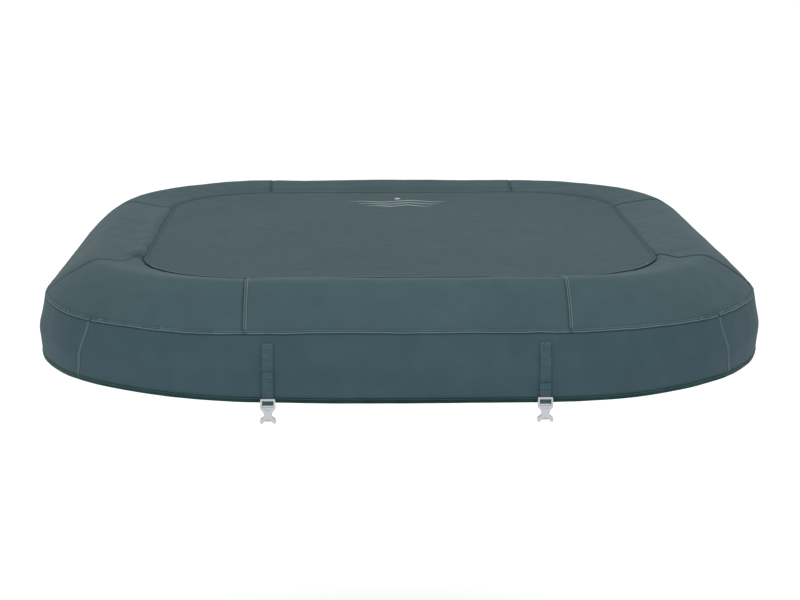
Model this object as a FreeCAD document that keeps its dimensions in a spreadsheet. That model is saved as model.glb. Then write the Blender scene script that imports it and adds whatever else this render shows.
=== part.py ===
"""Square lay-over cover for an inflatable spa, with its air liner, straps and buckles.

Millimetres, +Z up, the front skirt faces -Y. The origin is the centre of the flat underside
of the pocket that holds the air liner. The outside is a square with round corners: a skirt
that hangs over the tub wall, a bulging ring over the tub's rim and a flat centre panel.
"""

import FreeCAD
import Part
import Sketcher
import math
import os
import re

V = FreeCAD.Vector

# name, value in millimetres or degrees, what it is
SIZES = (
    ("wall", 2.0, "coated fabric with its foam backing"),
    ("straight", 365.0, "half the straight part of each side of the ring"),
    ("hem_straight", 305.0, "the same at the hem, where the corners are rounder"),
    ("belly_straight", 335.0, "the same where the skirt is widest"),
    ("hem_half", 898.0, "half the width at the hem"),
    ("hem_height", -145.0, "hem, below the underside of the pocket"),
    ("belly_half", 899.0, "half the width where the skirt is widest"),
    ("belly_height", -70.0, "height where the skirt is widest"),
    ("rim_half", 878.0, "half the width at the seam of skirt and ring"),
    ("rim_height", 10.0, "height of that seam"),
    ("flank_half", 862.0, "ring section, outer flank"),
    ("flank_height", 30.0, "ring section, outer flank"),
    ("shoulder_half", 838.0, "ring section, shoulder"),
    ("shoulder_height", 54.0, "ring section, shoulder"),
    ("brow_half", 803.0, "ring section, above the shoulder"),
    ("brow_height", 83.0, "ring section, above the shoulder"),
    ("crest_half", 757.0, "ring section, highest line"),
    ("crest_height", 105.0, "ring section, highest line"),
    ("slope_half", 700.0, "ring section, inner slope"),
    ("slope_height", 99.0, "ring section, inner slope"),
    ("seam_half", 636.0, "half the width at the seam of ring and centre panel"),
    ("seam_height", 87.0, "height of the centre panel"),
    ("binding_lap", 1.2, "thickness of the binding tape"),
    ("binding_rise", 10.0, "height of the binding tape on the skirt"),
    ("zip_line", 500.0, "distance of the zip from the middle"),
    ("zip_half", 450.0, "half the length of the zip"),
    ("zip_slot", 14.0, "half the width of the slot that the tapes fill"),
    ("tape_thick", 1.0, "zip tape"),
    ("coil_gap", 0.8, "half the gap between the two coils"),
    ("coil_width", 2.2, "one coil"),
    ("coil_drop", 0.4, "how far the coils stand below the tapes"),
    ("coil_high", 1.8, "height of a coil"),
    ("stop_long", 3.0, "zip end stop"),
    ("stop_half", 4.0, "half the width of a zip end stop"),
    ("stop_drop", 1.4, "how far the end stops stand below the tapes"),
    ("slider_long", 10.0, "zip slider"),
    ("slider_wide", 8.4, "zip slider"),
    ("slider_tail", 3.0, "half the width of the slider's narrow end"),
    ("slider_plate", 1.2, "thickness of a slider plate"),
    ("slider_play", 0.4, "gap between the slider and the coils"),
    ("slider_rest", 438.0, "where the closed zip's slider stands"),
    ("post_near", 1.0, "slider's post, from the slider's middle"),
    ("post_far", 4.0, "the same, its other end"),
    ("lug_half", 1.3, "half the length and height of the slider's lugs, about the rod"),
    ("lug_thick", 0.9, "slider's lugs"),
    ("pull_drop", 4.6, "pull's rod, below the tapes"),
    ("pull_rod", 0.8, "radius of that rod"),
    ("pull_play", 0.1, "gap between the rod and the pull's eye"),
    ("pull_eye", 2.2, "outer radius of the pull's eye"),
    ("pull_eye_wide", 3.4, "width of the eye"),
    ("pull_wide", 7.0, "width of the pull"),
    ("pull_long", 30.0, "length of the pull, from the rod"),
    ("pull_neck", 6.0, "length of its neck, from the rod"),
    ("pull_shoulder", 4.0, "where its wide part starts, from the rod"),
    ("pull_thick", 1.6, "thickness of the pull"),
    ("liner_half", 600.0, "half the width of the air liner"),
    ("liner_low", 3.0, "underside of the air liner"),
    ("liner_high", 83.0, "top of the air liner"),
    ("liner_wall", 0.5, "liner sheet"),
    ("web_half", 560.0, "half the length of an inner web"),
    ("web_pitch", 180.0, "distance between inner webs"),
    ("valve_place", 300.0, "valve, to the right of the middle"),
    ("valve_height", 46.0, "valve, above the underside"),
    ("flange_radius", 18.0, "valve flange"),
    ("flange_thick", 1.6, "valve flange"),
    ("neck_radius", 10.0, "valve neck"),
    ("neck_bore", 7.0, "valve bore"),
    ("neck_long", 9.0, "valve neck, from the flange"),
    ("seal_radius", 12.0, "valve seal"),
    ("seal_thick", 1.2, "valve seal"),
    ("seal_play", 0.05, "gap between seal and neck"),
    ("cap_radius", 12.5, "valve cap"),
    ("cap_play", 0.3, "gap between cap and neck"),
    ("cap_lift", 0.1, "gap between cap and seal"),
    ("cap_long", 10.5, "valve cap"),
    ("cap_end", 2.0, "end wall of the valve cap"),
    ("strap_place", 310.0, "straps, from the middle of a side"),
    ("strap_wide", 25.0, "webbing"),
    ("webbing", 1.4, "thickness of the webbing"),
    ("strap_clear", 1.2, "gap between the strap and the skirt"),
    ("tab_high", -9.5, "top of the sewn strap end"),
    ("tab_low", -21.5, "bottom of the sewn strap end"),
    ("tab_slope", 2.4, "how far its top lies behind its bottom"),
    ("hinge_height", -24.0, "line about which a strap swings"),
    ("strap_high", -26.0, "top of the free strap"),
    ("bar_depth", 904.4, "buckle's webbing bar, from the middle of the cover"),
    ("bar_height", -145.0, "buckle's webbing bar"),
    ("bar_radius", 1.2, "buckle's webbing bar"),
    ("bar_play", 0.25, "gap between the bar and the webbing"),
    ("layer_gap", 0.15, "gap between the strap and its tail"),
    ("cross_rise", 6.5, "height in which the tail crosses the window"),
    ("cross_step", 0.6, "how much later its front layer does"),
    ("tail_front_left", 74.0, "top of the strap's tail above the bar"),
    ("tail_front_right", 46.0, "the same"),
    ("tail_back_left", 52.0, "the same"),
    ("tail_back_right", 70.0, "the same"),
    ("buckle_high", 13.3, "top of the buckle above its webbing bar"),
    ("chamfer", 1.6, "cut off the corners of the buckle's outline"),
    ("soft_edge", 0.7, "cut off the smaller corners"),
    ("fillet", 2.4, "inner corners of the buckle's frame"),
    ("joint_lap", 1.0, "how far features of one piece run into each other"),
    ("top_bar_near", 1.0, "back of the buckle's top bar, in front of the webbing bar"),
    ("top_bar_low", 8.2, "bottom of the top bar, above the webbing bar"),
    ("top_bar_face", 10.6, "bottom of its upright face"),
    ("rail_inner", 13.0, "half the inner width of the buckle's frame"),
    ("rail_outer", 16.4, "half the width of the buckle's frame"),
    ("rail_thick", 7.0, "buckle's frame, front to back"),
    ("shell_thick", 9.6, "buckle's body, front to back"),
    ("shell_top", 5.5, "top of the buckle's body, below its webbing bar"),
    ("shoulder_low", 8.0, "where the shoulders start to narrow"),
    ("throat_half", 11.3, "half the width between shoulders and waist"),
    ("throat_low", 15.5, "height of that width, below the webbing bar"),
    ("shoulder_wide", 17.2, "half the width of the buckle's shoulders"),
    ("waist_wide", 8.7, "half the width of the buckle's waist"),
    ("flare_wide", 18.0, "half the width of the buckle's mouth"),
    ("flare_top", 32.8, "where the mouth's sides start, below the webbing bar"),
    ("lip_low", 39.8, "edge of the mouth, below the webbing bar"),
    ("foot_low", 42.8, "lowest point of the buckle, below the webbing bar"),
    ("foot_inner", 10.0, "inner edge of the buckle's feet"),
    ("socket_thick", 5.2, "socket, front to back"),
    ("socket_half", 15.4, "half the width of the socket"),
    ("guide_half", 6.5, "half the width of the socket's guide"),
    ("guide_top", 16.0, "top of the guide, below the webbing bar"),
    ("window_low", 26.0, "top of the side windows, below the webbing bar"),
    ("arch_half", 4.2, "half the width of the mouth's arch at its top"),
    ("arch_top", 34.0, "top of that arch, below the webbing bar"),
    ("ramp_half", 5.7, "half the width of the ramp at its bottom"),
    ("ramp_low", 12.7, "bottom of the ramp, below the webbing bar"),
    ("recess_deep", 2.2, "ramp below the webbing bar"),
)

# half width, height, and how far the inner face lies in and down, in wall thicknesses
RING_SECTION = (
    ("rim_half", "rim_height", 1.0, 0.0),
    ("flank_half", "flank_height", 0.8, 0.6),
    ("shoulder_half", "shoulder_height", 0.65, 0.8),
    ("brow_half", "brow_height", 0.5, 0.9),
    ("crest_half", "crest_height", 0.15, 1.0),
    ("slope_half", "slope_height", -0.15, 1.0),
    ("seam_half", "seam_height", -0.2, 1.0),
)

SIDES = ("front", "right", "back", "left")
CORNERS = ("front_right", "back_right", "back_left", "front_left")
STRAPPED_SIDES = {"front": 0, "back": 2}
QUARTER = 90.0
FAR = "2000"

DOC = FreeCAD.newDocument("spa_cover")
SHEET = DOC.addObject("Spreadsheet::Sheet", "Sizes")
NODES = []


def fill_sheet():
    for row, (alias, number, meaning) in enumerate(SIZES, start=1):
        SHEET.set(f"A{row}", meaning)
        SHEET.set(f"B{row}", str(number))
        SHEET.setAlias(f"B{row}", alias)
    DOC.recompute()


def bound(words):
    """The expression with the sheet's name before each alias."""
    aliases = {alias for alias, _, _ in SIZES}

    def with_sheet(match):
        word = match.group()
        return f"Sizes.{word}" if word in aliases else word

    return re.sub("[a-z_]+", with_sheet, words)


def value(words):
    return SHEET.evalExpression(bound(words))


def keep(thing, name):
    """Makes a finished sub-part a node of its own."""
    thing.Label = name
    NODES.append(thing)
    return thing


# ---- sketches -------------------------------------------------------------------------


def bind(sketch, kind, edge, end, words):
    """Holds one coordinate of a sketch point at an expression of the sheet."""
    number = sketch.addConstraint(Sketcher.Constraint(kind, -1, 1, edge, end, value(words)))
    sketch.setExpression(f"Constraints[{number}]", bound(words))


def draw(sketch, corners):
    """A closed outline. A corner is (x, y), or (x, y, centre x, centre y, turn) where an arc leaves it."""
    start, finish, centre = 1, 2, 3
    places = [V(value(c[0]), value(c[1]), 0) for c in corners]
    ends = []
    first = sketch.GeometryCount
    for number, corner in enumerate(corners):
        here = places[number]
        there = places[(number + 1) % len(corners)]
        if len(corner) == 2:
            sketch.addGeometry(Part.LineSegment(here, there))
            ends.append((start, finish))
            continue
        middle = V(value(corner[2]), value(corner[3]), 0)
        angles = [math.atan2(p.y - middle.y, p.x - middle.x) for p in (here, there)]
        if corner[4] == "clockwise":
            angles.reverse()
            ends.append((finish, start))
        else:
            ends.append((start, finish))
        ring = Part.Circle(middle, V(0, 0, 1), (here - middle).Length)
        sketch.addGeometry(Part.ArcOfCircle(ring, angles[0], angles[1]))
    for number, corner in enumerate(corners):
        after = (number + 1) % len(corners)
        edge = first + number
        sketch.addConstraint(
            Sketcher.Constraint("Coincident", edge, ends[number][1], first + after, ends[after][0])
        )
        bind(sketch, "DistanceX", edge, ends[number][0], corner[0])
        bind(sketch, "DistanceY", edge, ends[number][0], corner[1])
        if len(corner) > 2:
            chord = places[after] - places[number]
            if abs(chord.x) < abs(chord.y):
                bind(sketch, "DistanceX", edge, centre, corner[2])
            else:
                bind(sketch, "DistanceY", edge, centre, corner[3])


def rounded_square(half, flat):
    """The outline of a square of this half width whose sides are straight for twice flat."""
    turn = "anticlockwise"
    return [
        (f"-({flat})", f"-({half})"),
        (flat, f"-({half})", flat, f"-({flat})", turn),
        (half, f"-({flat})"),
        (half, flat, flat, flat, turn),
        (flat, half),
        (f"-({flat})", half, f"-({flat})", flat, turn),
        (f"-({half})", flat),
        (f"-({half})", f"-({flat})", f"-({flat})", f"-({flat})", turn),
    ]


def rectangle(low_x, high_x, low_y, high_y):
    return [(low_x, low_y), (high_x, low_y), (high_x, high_y), (low_x, high_y)]


def mirrored(corners):
    """A half outline on the right, drawn top to bottom, with its mirror image on the left."""
    return corners + [(f"-({x})", y) for x, y in reversed(corners)]


def origin_part(body, role):
    return [part for part in body.Origin.OriginFeatures if part.Role == role][0]


def sketch_on(body, plane, corners, place=("0", "0", "0")):
    """A sketch on one of the body's own planes, moved along its axes to a place in the sheet's sizes."""
    sketch = body.newObject("Sketcher::SketchObject", "Outline")
    sketch.AttachmentSupport = [(origin_part(body, plane), "")]
    sketch.MapMode = "FlatFace"
    for axis, words in zip("xyz", place):
        if words != "0":
            sketch.setExpression(f"AttachmentOffset.Base.{axis}", bound(words))
    for ring in corners:
        draw(sketch, ring)
    return sketch


def pad(body, sketch, length, middle=False):
    feature = body.newObject("PartDesign::Pad", "Pad")
    feature.Profile = sketch
    feature.Midplane = middle
    feature.setExpression("Length", bound(length))
    return feature


def pocket(body, sketch, length, middle=False, outwards=False):
    feature = body.newObject("PartDesign::Pocket", "Pocket")
    feature.Profile = sketch
    feature.Midplane = middle
    feature.Reversed = outwards
    feature.setExpression("Length", bound(length))
    return feature


def new_body(name, quarter=0):
    body = DOC.addObject("PartDesign::Body", "Body")
    body.Placement = FreeCAD.Placement(V(), FreeCAD.Rotation(V(0, 0, 1), QUARTER * quarter))
    return keep(body, name)


def combine(kind, base, tool):
    result = DOC.addObject(f"Part::{kind}", kind)
    result.Base = base
    result.Tool = tool
    return result


# ---- ring and skirt -------------------------------------------------------------------


def ring_outline(inset):
    """The ring's section in a plane across a side; inset is what its half widths are measured from."""
    outer = [(f"-({half} - {inset})", height) for half, height, _, _ in RING_SECTION]
    inner = [
        (f"-({half} - {inset} - wall * {across})", f"{height} - wall * {down}")
        for half, height, across, down in RING_SECTION
    ]
    return outer + inner[::-1]


def rim_panel(side, quarter):
    body = new_body(f"rim_panel_{side}", quarter)
    sketch = sketch_on(body, "YZ_Plane", [ring_outline("0")])
    pad(body, sketch, "straight * 2", middle=True)


def rim_corner(corner, quarter):
    body = new_body(f"rim_corner_{corner}", quarter)
    sketch = sketch_on(body, "YZ_Plane", [ring_outline("straight")])
    turn = body.newObject("PartDesign::Revolution", "Revolution")
    turn.Profile = sketch
    turn.ReferenceAxis = (origin_part(body, "Z_Axis"), [""])
    turn.Angle = QUARTER
    signs = ((1, -1), (1, 1), (-1, 1), (-1, -1))[quarter]
    body.setExpression("Placement.Base.x", bound(f"straight * {signs[0]}"))
    body.setExpression("Placement.Base.y", bound(f"straight * {signs[1]}"))


def level(half, flat, height):
    """A rounded square at one height, as a section of a loft."""
    sketch = DOC.addObject("Sketcher::SketchObject", "Level")
    sketch.setExpression("Placement.Base.z", bound(height))
    draw(sketch, rounded_square(half, flat))
    return sketch


def loft(sections):
    result = DOC.addObject("Part::Loft", "Loft")
    result.Sections = sections
    result.Solid = True
    result.Ruled = True
    return result


def skirt_shell():
    """The skirt all round, between an outer and an inner loft."""
    levels = (
        ("hem_half", "hem_straight", "hem_height"),
        ("belly_half", "belly_straight", "belly_height"),
        ("rim_half", "straight", "rim_height"),
    )
    outer = loft([level(half, flat, height) for half, flat, height in levels])
    inner = loft([level(f"{half} - wall", flat, height) for half, flat, height in levels])
    return combine("Cut", outer, inner)


def skirt_panel(shell, side, quarter):
    """The quarter of the skirt in front of one side, with its seams on the corners' diagonals."""
    wedge = DOC.addObject("PartDesign::Body", "Wedge")
    wedge.Placement = FreeCAD.Placement(V(), FreeCAD.Rotation(V(0, 0, 1), QUARTER * quarter))
    corners = [("0", "0"), (f"-{FAR}", f"-{FAR}"), (FAR, f"-{FAR}")]
    pad(wedge, sketch_on(wedge, "XY_Plane", [corners]), FAR, middle=True)
    keep(combine("Common", shell, wedge), f"skirt_{side}")


def hem_binding(shell):
    """A folded tape of U section over the skirt's lower edge."""
    part = "(binding_rise / (belly_height - hem_height))"
    half = f"hem_half + (belly_half - hem_half) * {part}"
    flat = f"hem_straight + (belly_straight - hem_straight) * {part}"
    low = "hem_height - binding_lap"
    high = "hem_height + binding_rise"
    outer = loft([
        level("hem_half + binding_lap", "hem_straight", low),
        level(f"{half} + binding_lap", flat, high),
    ])
    inner = loft([
        level("hem_half - wall - binding_lap", "hem_straight", low),
        level(f"{half} - wall - binding_lap", flat, high),
    ])
    keep(combine("Cut", combine("Cut", outer, inner), shell), "hem_binding")


# ---- pocket under the centre panel -----------------------------------------------------


def plate(name, half, low, thick):
    """A flat sheet with the outline of the pocket."""
    body = new_body(name)
    ring = rounded_square(half, "straight")
    pad(body, sketch_on(body, "XY_Plane", [ring], ("0", "0", low)), thick)
    return body


def band(name, half, thick, low, height):
    """An upright strip all round the pocket."""
    body = new_body(name)
    rings = [rounded_square(half, "straight"), rounded_square(f"{half} - {thick}", "straight")]
    pad(body, sketch_on(body, "XY_Plane", rings, ("0", "0", low)), height)


def underside(name, keep_behind):
    """The pocket's floor on one side of the zip, with a slot for the zip's tape."""
    body = plate(name, "seam_half - wall", "0", "wall")
    away = rectangle(f"-{FAR}", FAR, f"-{FAR}", "-zip_line")
    left, right = "-zip_half - stop_long", "zip_half + stop_long"
    slot = rectangle(left, right, "-zip_line", "zip_slot - zip_line")
    if not keep_behind:
        away = rectangle(f"-{FAR}", FAR, "-zip_line", FAR)
        slot = rectangle(left, right, "-zip_line - zip_slot", "-zip_line")
    for ring in (away, slot):
        pocket(body, sketch_on(body, "XY_Plane", [ring]), "wall", outwards=True)


def slab(name, outline, low, thick):
    body = new_body(name)
    pad(body, sketch_on(body, "XY_Plane", [outline], ("0", "0", low)), thick)
    return body


def zip_strips():
    for name, sign in (("front", "-"), ("rear", "+")):
        near = f"-zip_line {sign} coil_gap"
        seam = f"{near} {sign} coil_width"
        far = f"-zip_line {sign} zip_slot"
        coil = rectangle("-zip_half", "zip_half", near, seam)
        tape = rectangle("-zip_half - stop_long", "zip_half + stop_long", seam, far)
        slab(f"zip_coil_{name}", coil, "-coil_drop", "coil_high")
        slab(f"zip_tape_{name}", tape, "0", "tape_thick")


def zip_end_stops():
    """A metal clip across both coils at each end of the zip."""
    clips = []
    for sign in ("-", "+"):
        body = DOC.addObject("PartDesign::Body", "Stop")
        inner = f"{sign}zip_half"
        outer = f"{sign}(zip_half + stop_long)"
        ring = rectangle(inner, outer, "-zip_line - stop_half", "-zip_line + stop_half")
        pad(body, sketch_on(body, "XY_Plane", [ring], ("0", "0", "-stop_drop")), "stop_drop")
        clips.append(body)
    group = DOC.addObject("Part::Compound", "Stops")
    group.Links = clips
    keep(group, "zip_end_stops")


def zip_slider():
    """Two plates over and under the coils, a post between them and the rod that carries the pull."""
    body = new_body("zip_slider")
    back = "slider_rest - slider_long / 2"
    front = "slider_rest + slider_long / 2"
    shape = [
        (back, "-zip_line - slider_tail"),
        (front, "-zip_line - slider_wide / 2"),
        (front, "-zip_line + slider_wide / 2"),
        (back, "-zip_line + slider_tail"),
    ]
    top = "coil_high - coil_drop + slider_play"
    bottom = "-coil_drop - slider_play - slider_plate"
    near, far = "slider_rest + post_near", "slider_rest + post_far"
    post = rectangle(near, far, "-zip_line - coil_gap / 2", "-zip_line + coil_gap / 2")
    pad(body, sketch_on(body, "XY_Plane", [post], ("0", "0", bottom)), f"{top} - ({bottom})")
    pad(body, sketch_on(body, "XY_Plane", [shape], ("0", "0", bottom)), "slider_plate")
    pad(body, sketch_on(body, "XY_Plane", [shape], ("0", "0", top)), "slider_plate")
    for sign in ("-", "+"):
        inner = f"-zip_line {sign} (pull_eye_wide / 2 + pull_play)"
        outer = f"{inner} {sign} lug_thick"
        lug = rectangle("slider_rest - lug_half", "slider_rest + lug_half", inner, outer)
        low = "-pull_drop - lug_half"
        pad(body, sketch_on(body, "XY_Plane", [lug], ("0", "0", low)), f"{bottom} - ({low})")
    rod = circle_sketch(body, "XZ_Plane", "pull_rod", ("slider_rest", "-pull_drop", "zip_line"))
    pad(body, rod, "pull_eye_wide + (pull_play + lug_thick) * 2", middle=True)


def circle_sketch(body, plane, radius, place):
    sketch = sketch_on(body, plane, [], place)
    sketch.addGeometry(Part.Circle(V(), V(0, 0, 1), value(radius)))
    sketch.addConstraint(Sketcher.Constraint("Coincident", 0, 3, -1, 1))
    number = sketch.addConstraint(Sketcher.Constraint("Radius", 0, value(radius)))
    sketch.setExpression(f"Constraints[{number}]", bound(radius))
    return sketch


def zip_pull():
    """A flat tab that hangs from the slider's rod by an eye."""
    body = new_body("zip_pull")
    place = ("slider_rest", "-pull_drop", "zip_line")
    eye = circle_sketch(body, "XZ_Plane", "pull_eye", place)
    pad(body, eye, "pull_eye_wide", middle=True)
    neck = rectangle("-pull_thick / 2", "pull_thick / 2", "-pull_neck", "0")
    pad(body, sketch_on(body, "XZ_Plane", [neck], place), "pull_eye_wide", middle=True)
    tab = rectangle("-pull_thick / 2", "pull_thick / 2", "-pull_long", "-pull_shoulder")
    pad(body, sketch_on(body, "XZ_Plane", [tab], place), "pull_wide", middle=True)
    bore = circle_sketch(body, "XZ_Plane", "pull_rod + pull_play", place)
    pocket(body, bore, "pull_eye_wide * 2", middle=True)


# ---- air liner ------------------------------------------------------------------------


def liner_webs():
    """Upright strips that keep the liner's two sheets parallel when it is full of air."""
    strips = []
    for number in range(-2, 3):
        strip = DOC.addObject("Part::Box", "Web")
        strip.setExpression("Length", bound("web_half * 2"))
        strip.setExpression("Width", bound("liner_wall"))
        strip.setExpression("Height", bound("liner_high - liner_low - liner_wall * 2"))
        strip.setExpression("Placement.Base.x", bound("-web_half"))
        strip.setExpression("Placement.Base.y", bound(f"web_pitch * {number}"))
        strip.setExpression("Placement.Base.z", bound("liner_low + liner_wall"))
        strips.append(strip)
    group = DOC.addObject("Part::Compound", "Webs")
    group.Links = strips
    keep(group, "liner_webs")


def disc(radius, start, long):
    """A cylinder on the valve's axis, which points to the front; start is measured from the liner's side."""
    cylinder = DOC.addObject("Part::Cylinder", "Disc")
    cylinder.setExpression("Radius", bound(radius))
    cylinder.setExpression("Height", bound(long))
    cylinder.Placement = FreeCAD.Placement(V(), FreeCAD.Rotation(V(1, 0, 0), QUARTER))
    cylinder.setExpression("Placement.Base.x", bound("valve_place"))
    cylinder.setExpression("Placement.Base.y", bound(f"-liner_half - ({start})"))
    cylinder.setExpression("Placement.Base.z", bound("valve_height"))
    return cylinder


def valve():
    body = combine("Fuse", disc("flange_radius", "0", "flange_thick"), disc("neck_radius", "0", "neck_long"))
    bore = disc("neck_bore", "-joint_lap", "neck_long + joint_lap * 2")
    keep(combine("Cut", body, bore), "valve_body")
    ring = disc("seal_radius", "flange_thick", "seal_thick")
    hole = disc("neck_radius + seal_play", "0", "neck_long")
    keep(combine("Cut", ring, hole), "valve_seal")
    start = "flange_thick + seal_thick + cap_lift"
    cup = disc("cap_radius", start, "cap_long")
    hollow = disc("neck_radius + cap_play", f"{start} - joint_lap", "cap_long - cap_end + joint_lap")
    keep(combine("Cut", cup, hollow), "valve_cap")


# ---- straps and buckles ---------------------------------------------------------------


def skirt_face(height):
    """Distance of the skirt's outer face from the middle, above its widest line."""
    return (
        f"(belly_half + (rim_half - belly_half) * ({height} - belly_height)"
        " / (rim_height - belly_height))"
    )


def strap_tab(place, quarter):
    """The strap's top end, folded under and sewn down."""
    body = DOC.addObject("PartDesign::Body", "Tab")
    body.Placement = FreeCAD.Placement(V(), FreeCAD.Rotation(V(0, 0, 1), QUARTER * quarter))
    front = f"-({skirt_face('tab_low')} + strap_clear + webbing)"
    ring = [
        (f"-{skirt_face('tab_low')}", "tab_low"),
        (front, "tab_low"),
        (f"{front} + tab_slope", "tab_high"),
        (f"-{skirt_face('tab_high')}", "tab_high"),
    ]
    pad(body, sketch_on(body, "YZ_Plane", [ring], ("0", "0", place)), "strap_wide", middle=True)
    return body


def strap(name, place, quarter):
    """The load strap down to the buckle, round its webbing bar and up again as the tail."""
    body = new_body(f"strap_{name}", quarter)
    inner = "(bar_radius + bar_play)"
    outer = "(bar_radius + bar_play + webbing)"
    hinge = f"({skirt_face('hinge_height')} + strap_clear)"
    tail_top = f"bar_height + tail_{name}"
    cross = f"bar_depth - {inner} + layer_gap"
    ring = [
        (f"-(bar_depth - {outer})", "bar_height"),
        (f"-(bar_depth - {outer})", "belly_height"),
        (f"-{hinge}", "strap_high"),
        (f"-({hinge} + webbing)", "strap_high"),
        (f"-(bar_depth - {inner})", "belly_height"),
        (f"-(bar_depth - {inner})", "bar_height", "-bar_depth", "bar_height", "clockwise"),
        (f"-(bar_depth + {inner})", "bar_height"),
        (f"-({cross})", "bar_height + cross_rise"),
        (f"-({cross})", tail_top),
        (f"-({cross} + webbing)", tail_top),
        (f"-({cross} + webbing)", "bar_height + cross_rise + cross_step"),
        (f"-(bar_depth + {outer})", "bar_height", "-bar_depth", "bar_height", "anticlockwise"),
    ]
    pad(body, sketch_on(body, "YZ_Plane", [ring], ("0", "0", place)), "strap_wide", middle=True)


def buckle(name, place, quarter):
    """The socket half of a side-release buckle, with the two bars that hold the webbing."""
    body = new_body(f"buckle_{name}", quarter)
    middle = (place, "bar_height", "bar_depth")
    shell = mirrored([
        ("shoulder_wide", "-shell_top"),
        ("shoulder_wide", "-shoulder_low"),
        ("shoulder_wide - chamfer", "-shoulder_low - chamfer * 2"),
        ("throat_half", "-throat_low"),
        ("waist_wide + chamfer / 2", "-throat_low - chamfer * 3"),
        ("waist_wide", "-window_low + chamfer / 2"),
        ("waist_wide + chamfer / 2", "-window_low - chamfer"),
        ("flare_wide - chamfer", "-flare_top"),
        ("flare_wide", "-flare_top - chamfer * 2"),
        ("flare_wide", "-foot_low + chamfer"),
        ("flare_wide - chamfer", "-foot_low"),
        ("foot_inner + chamfer", "-foot_low"),
        ("foot_inner", "-lip_low"),
    ])
    pad(body, sketch_on(body, "XZ_Plane", [shell], middle), "shell_thick", middle=True)
    for sign in ("-", ""):
        rail = [
            (f"{sign}rail_inner", "buckle_high - soft_edge"),
            (f"{sign}(rail_outer - chamfer)", "buckle_high"),
            (f"{sign}rail_outer", "buckle_high - chamfer"),
            (f"{sign}shoulder_wide", "-shell_top"),
            (f"{sign}shoulder_wide", "-shell_top - joint_lap"),
            (f"{sign}(rail_inner - fillet)", "-shell_top - joint_lap"),
            (f"{sign}(rail_inner - fillet)", "-shell_top"),
            (f"{sign}rail_inner", "-shell_top + fillet"),
        ]
        pad(body, sketch_on(body, "XZ_Plane", [rail], middle), "rail_thick", middle=True)
    top_bar = [
        ("-(bar_depth + top_bar_near)", "bar_height + top_bar_low + soft_edge"),
        ("-(bar_depth + top_bar_near + soft_edge)", "bar_height + top_bar_low"),
        ("-(bar_depth + rail_thick / 2)", "bar_height + top_bar_face"),
        ("-(bar_depth + rail_thick / 2)", "bar_height + buckle_high - chamfer"),
        ("-(bar_depth + rail_thick / 2 - soft_edge)", "bar_height + buckle_high"),
        ("-(bar_depth + top_bar_near + soft_edge)", "bar_height + buckle_high"),
        ("-(bar_depth + top_bar_near)", "bar_height + buckle_high - soft_edge"),
    ]
    across = sketch_on(body, "YZ_Plane", [top_bar], ("0", "0", place))
    pad(body, across, "(rail_outer - soft_edge) * 2", middle=True)
    bar = circle_sketch(body, "YZ_Plane", "bar_radius", ("-bar_depth", "bar_height", place))
    pad(body, bar, "(rail_inner + joint_lap) * 2", middle=True)
    socket = mirrored([
        ("guide_half", "-guide_top"),
        ("guide_half", "-window_low"),
        ("socket_half", "-window_low"),
        ("socket_half", "-foot_low - joint_lap"),
    ])
    pocket(body, sketch_on(body, "XZ_Plane", [socket], middle), "socket_thick", middle=True)
    arch = mirrored([
        ("arch_half", "-arch_top"),
        ("foot_inner - chamfer * 2", "-arch_top - chamfer"),
        ("foot_inner - soft_edge", "-lip_low + soft_edge"),
        ("foot_inner - soft_edge", "-lip_low - joint_lap"),
    ])
    pocket(body, sketch_on(body, "XZ_Plane", [arch], middle), "shell_thick", outwards=True)
    ramp = mirrored([
        ("rail_inner - fillet", "-shell_top + joint_lap"),
        ("rail_inner - fillet", "-shell_top"),
        ("ramp_half + chamfer", "-shoulder_low"),
        ("ramp_half", "-ramp_low"),
    ])
    front = (place, "bar_height", "bar_depth + shell_thick / 2")
    pocket(body, sketch_on(body, "XZ_Plane", [ramp], front), "recess_deep")


def straps_and_buckles():
    tabs = []
    for side, quarter in STRAPPED_SIDES.items():
        for hand, place in (("left", "-strap_place"), ("right", "strap_place")):
            name = f"{side}_{hand}"
            tabs.append(strap_tab(place, quarter))
            strap(name, place, quarter)
            buckle(name, place, quarter)
    group = DOC.addObject("Part::Compound", "Tabs")
    group.Links = tabs
    keep(group, "strap_tabs")


# ---- the whole cover ------------------------------------------------------------------


def build():
    fill_sheet()
    for quarter, side in enumerate(SIDES):
        rim_panel(side, quarter)
    for quarter, corner in enumerate(CORNERS):
        rim_corner(corner, quarter)
    shell = skirt_shell()
    for quarter, side in enumerate(SIDES):
        skirt_panel(shell, side, quarter)
    hem_binding(shell)
    plate("centre_panel", "seam_half", "seam_height - wall", "wall")
    band("pocket_gusset", "seam_half", "wall", "0", "seam_height - wall")
    underside("underside_panel", keep_behind=True)
    underside("underside_front_strip", keep_behind=False)
    zip_strips()
    zip_end_stops()
    zip_slider()
    zip_pull()
    plate("liner_bottom_sheet", "liner_half", "liner_low", "liner_wall")
    plate("liner_top_sheet", "liner_half", "liner_high - liner_wall", "liner_wall")
    between = "liner_high - liner_low - liner_wall * 2"
    band("liner_side_band", "liner_half", "liner_wall", "liner_low + liner_wall", between)
    liner_webs()
    valve()
    straps_and_buckles()


def check_and_export():
    DOC.recompute()
    for thing in DOC.Objects:
        if {"Invalid", "Error"} & set(thing.State):
            raise RuntimeError(f"{thing.Label} failed: {thing.State}")
    for node in NODES:
        if node.Shape.isNull() or not node.Shape.isValid() or not node.Shape.Solids:
            raise RuntimeError(f"{node.Label} has no valid solid")
    os.makedirs("parts", exist_ok=True)
    for node in NODES:
        node.Shape.exportStep(f"parts/{node.Label}.step")
        print(f"{node.Label}: {len(node.Shape.Solids)} solids, {node.Shape.Volume:.0f} mm3")


build()
check_and_export()
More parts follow.
